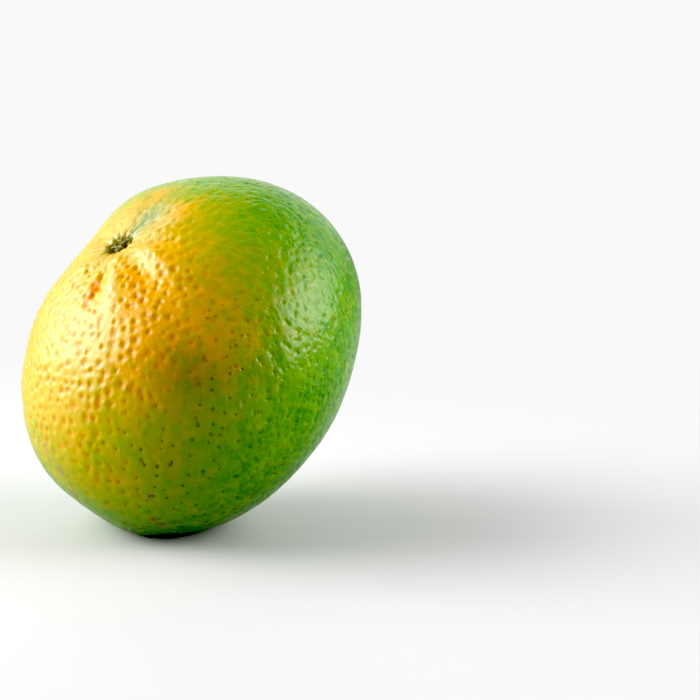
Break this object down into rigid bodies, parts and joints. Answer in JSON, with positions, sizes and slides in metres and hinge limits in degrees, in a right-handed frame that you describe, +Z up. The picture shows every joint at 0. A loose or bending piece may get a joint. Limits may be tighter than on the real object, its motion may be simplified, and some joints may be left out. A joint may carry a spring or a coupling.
{
  "type": "mandarin",
  "caption": "Whole arrayana mandarin, broad and flattened, with a hollowed stem end and a dry calyx, lying tilted on a small flat spot.",
  "frame": {"origin": "middle of the fruit's box in plan, on the surface that it rests on", "axes": "+Z up, out of the flat spot; -Y towards the side that shows the stem end and the ripe yellow cheek; -X is the side the core leans to"},
  "size_m": [0.0655, 0.0721, 0.0662],
  "materials": {
    "peel": "glossy citrus peel, green ripening to yellow and orange at the stem end, pitted with oil glands",
    "calyx": "dry, matt, olive brown"
  },
  "bodies": {
    "root": {"fruit": "peel", "calyx": "calyx"}
  },
  "joints": []
}
